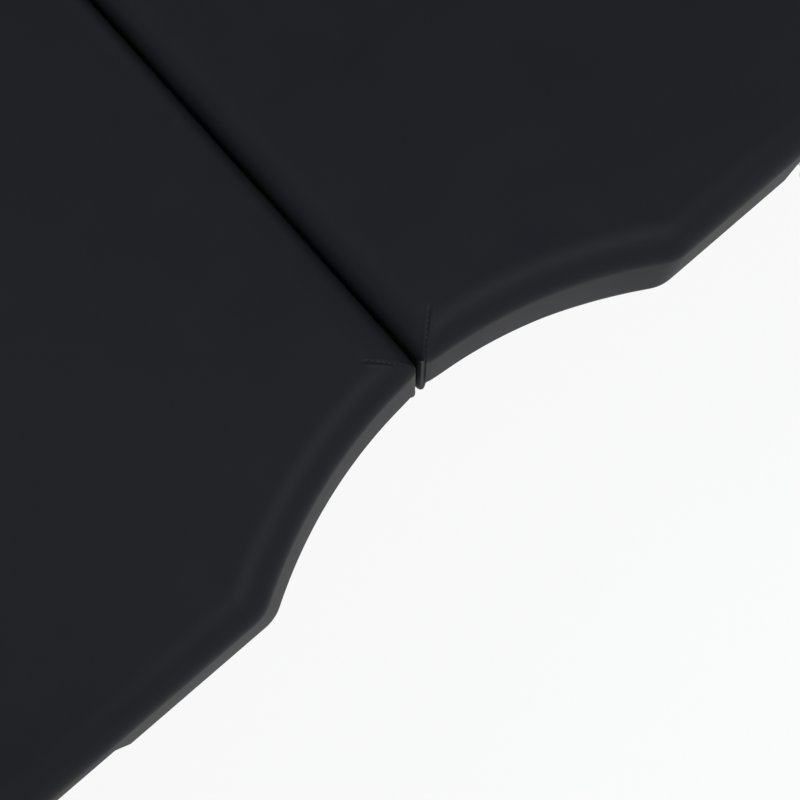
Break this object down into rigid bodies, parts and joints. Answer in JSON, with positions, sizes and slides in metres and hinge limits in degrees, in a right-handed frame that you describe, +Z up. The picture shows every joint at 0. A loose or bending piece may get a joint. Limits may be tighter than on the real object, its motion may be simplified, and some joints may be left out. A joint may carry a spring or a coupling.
{
  "type": "folding massage table",
  "caption": "Portable massage table folding in two halves, with a padded hourglass top, wooden frame, height-adjustable folding legs and a carrying handle.",
  "frame": {"origin": "on the floor under the middle of the open table, with the legs at their lowest setting", "axes": "+X along the table's length towards the half with the carrying handle, -Y towards the near long side that carries the handle, +Z up"},
  "size_m": [1.86, 0.712, 0.57],
  "materials": {
    "leatherette": "satin",
    "foam": "matte",
    "plywood": "matte",
    "beech": "satin",
    "laminated_beech": "satin",
    "zinc_steel": "satin",
    "nickel": "satin",
    "rubber": "matte",
    "knob_plastic": "satin",
    "socket_plastic": "satin",
    "handle_plastic": "satin"
  },
  "bodies": {
    "left_half": {"left_cover": "leatherette", "left_foam": "foam", "left_deck": "plywood", "left_far_rail": "beech", "left_near_rail": "beech", "left_fold_rail": "beech", "left_end_rail": "beech", "left_waist_rails": "laminated_beech", "left_skirts": "leatherette", "left_battens": "beech", "left_corner_blocks": "beech", "left_pivot_hardware": "zinc_steel", "left_hinge_leaves": "zinc_steel", "hinge_pins": "zinc_steel", "headrest_sockets": "socket_plastic", "hook_screws": "nickel"},
    "right_half": {"right_cover": "leatherette", "right_foam": "foam", "right_deck": "plywood", "right_far_rail": "beech", "right_near_rail": "beech", "right_fold_rail": "beech", "right_end_rail": "beech", "right_waist_rails": "laminated_beech", "right_skirts": "leatherette", "right_battens": "beech", "right_corner_blocks": "beech", "right_pivot_hardware": "zinc_steel", "right_hinge_leaves": "zinc_steel", "handle_brackets": "nickel", "catches": "nickel"},
    "left_legs": {"left_far_upper_leg": "beech", "left_near_upper_leg": "beech", "left_crossbar": "beech", "left_leg_fasteners": "zinc_steel"},
    "left_upper_stays": {"left_upper_stays": "zinc_steel"},
    "left_lower_stays": {"left_lower_stays": "zinc_steel"},
    "left_far_lower_leg": {"left_far_lower_leg": "beech", "left_far_foot": "rubber"},
    "left_far_knob": {"left_far_knob": "knob_plastic"},
    "left_near_lower_leg": {"left_near_lower_leg": "beech", "left_near_foot": "rubber"},
    "left_near_knob": {"left_near_knob": "knob_plastic"},
    "right_legs": {"right_far_upper_leg": "beech", "right_near_upper_leg": "beech", "right_crossbar": "beech", "right_leg_fasteners": "zinc_steel"},
    "right_upper_stays": {"right_upper_stays": "zinc_steel"},
    "right_lower_stays": {"right_lower_stays": "zinc_steel"},
    "right_far_lower_leg": {"right_far_lower_leg": "beech", "right_far_foot": "rubber"},
    "right_far_knob": {"right_far_knob": "knob_plastic"},
    "right_near_lower_leg": {"right_near_lower_leg": "beech", "right_near_foot": "rubber"},
    "right_near_knob": {"right_near_knob": "knob_plastic"},
    "handle": {"handle": "handle_plastic"},
    "far_hook": {"far_hook": "nickel"},
    "near_hook": {"near_hook": "nickel"}
  },
  "joints": [
    {"name": "fold", "type": "hinge", "parent": "left_half", "child": "right_half", "pos_m": [0, 0, 0.4483], "axis": [0, 1, 0], "range_deg": [0, 180]},
    {"name": "left_legs_fold", "type": "hinge", "parent": "left_half", "child": "left_legs", "pos_m": [-0.868, 0, 0.4928], "axis": [0, 1, 0], "range_deg": [-90, 0]},
    {"name": "left_upper_stays_fold", "type": "hinge", "parent": "left_half", "child": "left_upper_stays", "pos_m": [-0.598, 0, 0.4928], "axis": [0, 1, 0], "range_deg": [-154.29, 0]},
    {"name": "left_lower_stays_fold", "type": "hinge", "parent": "left_legs", "child": "left_lower_stays", "pos_m": [-0.868, 0, 0.3628], "axis": [0, 1, 0], "range_deg": [0, 115.71]},
    {"name": "left_far_lower_leg_slide", "type": "slide", "parent": "left_legs", "child": "left_far_lower_leg", "axis": [0, 0, 1], "range_m": [-0.22, 0]},
    {"name": "left_far_knob_turn", "type": "hinge", "parent": "left_legs", "child": "left_far_knob", "pos_m": [-0.868, 0.2514, 0.0878], "axis": [0, -1, 0], "range_deg": [-720, 0]},
    {"name": "left_near_lower_leg_slide", "type": "slide", "parent": "left_legs", "child": "left_near_lower_leg", "axis": [0, 0, 1], "range_m": [-0.22, 0]},
    {"name": "left_near_knob_turn", "type": "hinge", "parent": "left_legs", "child": "left_near_knob", "pos_m": [-0.868, -0.2514, 0.0878], "axis": [0, 1, 0], "range_deg": [-720, 0]},
    {"name": "right_legs_fold", "type": "hinge", "parent": "right_half", "child": "right_legs", "pos_m": [0.868, 0, 0.4928], "axis": [0, 1, 0], "range_deg": [0, 90]},
    {"name": "right_upper_stays_fold", "type": "hinge", "parent": "right_half", "child": "right_upper_stays", "pos_m": [0.598, 0, 0.4928], "axis": [0, 1, 0], "range_deg": [0, 154.29]},
    {"name": "right_lower_stays_fold", "type": "hinge", "parent": "right_legs", "child": "right_lower_stays", "pos_m": [0.868, 0, 0.3628], "axis": [0, 1, 0], "range_deg": [-115.71, 0]},
    {"name": "right_far_lower_leg_slide", "type": "slide", "parent": "right_legs", "child": "right_far_lower_leg", "axis": [0, 0, 1], "range_m": [-0.22, 0]},
    {"name": "right_far_knob_turn", "type": "hinge", "parent": "right_legs", "child": "right_far_knob", "pos_m": [0.868, 0.2514, 0.0878], "axis": [0, -1, 0], "range_deg": [-720, 0]},
    {"name": "right_near_lower_leg_slide", "type": "slide", "parent": "right_legs", "child": "right_near_lower_leg", "axis": [0, 0, 1], "range_m": [-0.22, 0]},
    {"name": "right_near_knob_turn", "type": "hinge", "parent": "right_legs", "child": "right_near_knob", "pos_m": [0.868, -0.2514, 0.0878], "axis": [0, 1, 0], "range_deg": [-720, 0]},
    {"name": "handle_swing", "type": "hinge", "parent": "right_half", "child": "handle", "pos_m": [0.46, -0.353, 0.4688], "axis": [-1, 0, 0], "range_deg": [0, 110]},
    {"name": "far_hook_swing", "type": "hinge", "parent": "left_half", "child": "far_hook", "pos_m": [-0.7, 0.34475, 0.4823], "axis": [0, 1, 0], "range_deg": [0, 25]},
    {"name": "near_hook_swing", "type": "hinge", "parent": "left_half", "child": "near_hook", "pos_m": [-0.7, -0.34475, 0.4823], "axis": [0, 1, 0], "range_deg": [0, 25]}
  ],
  "couplings": [
    {"joint": "left_legs_fold", "follows": "fold", "ratio": -0.5},
    {"joint": "left_upper_stays_fold", "follows": "fold", "ratio": -0.85717},
    {"joint": "left_lower_stays_fold", "follows": "fold", "ratio": 0.64283},
    {"joint": "right_legs_fold", "follows": "fold", "ratio": 0.5},
    {"joint": "right_upper_stays_fold", "follows": "fold", "ratio": 0.85717},
    {"joint": "right_lower_stays_fold", "follows": "fold", "ratio": -0.64283}
  ]
}
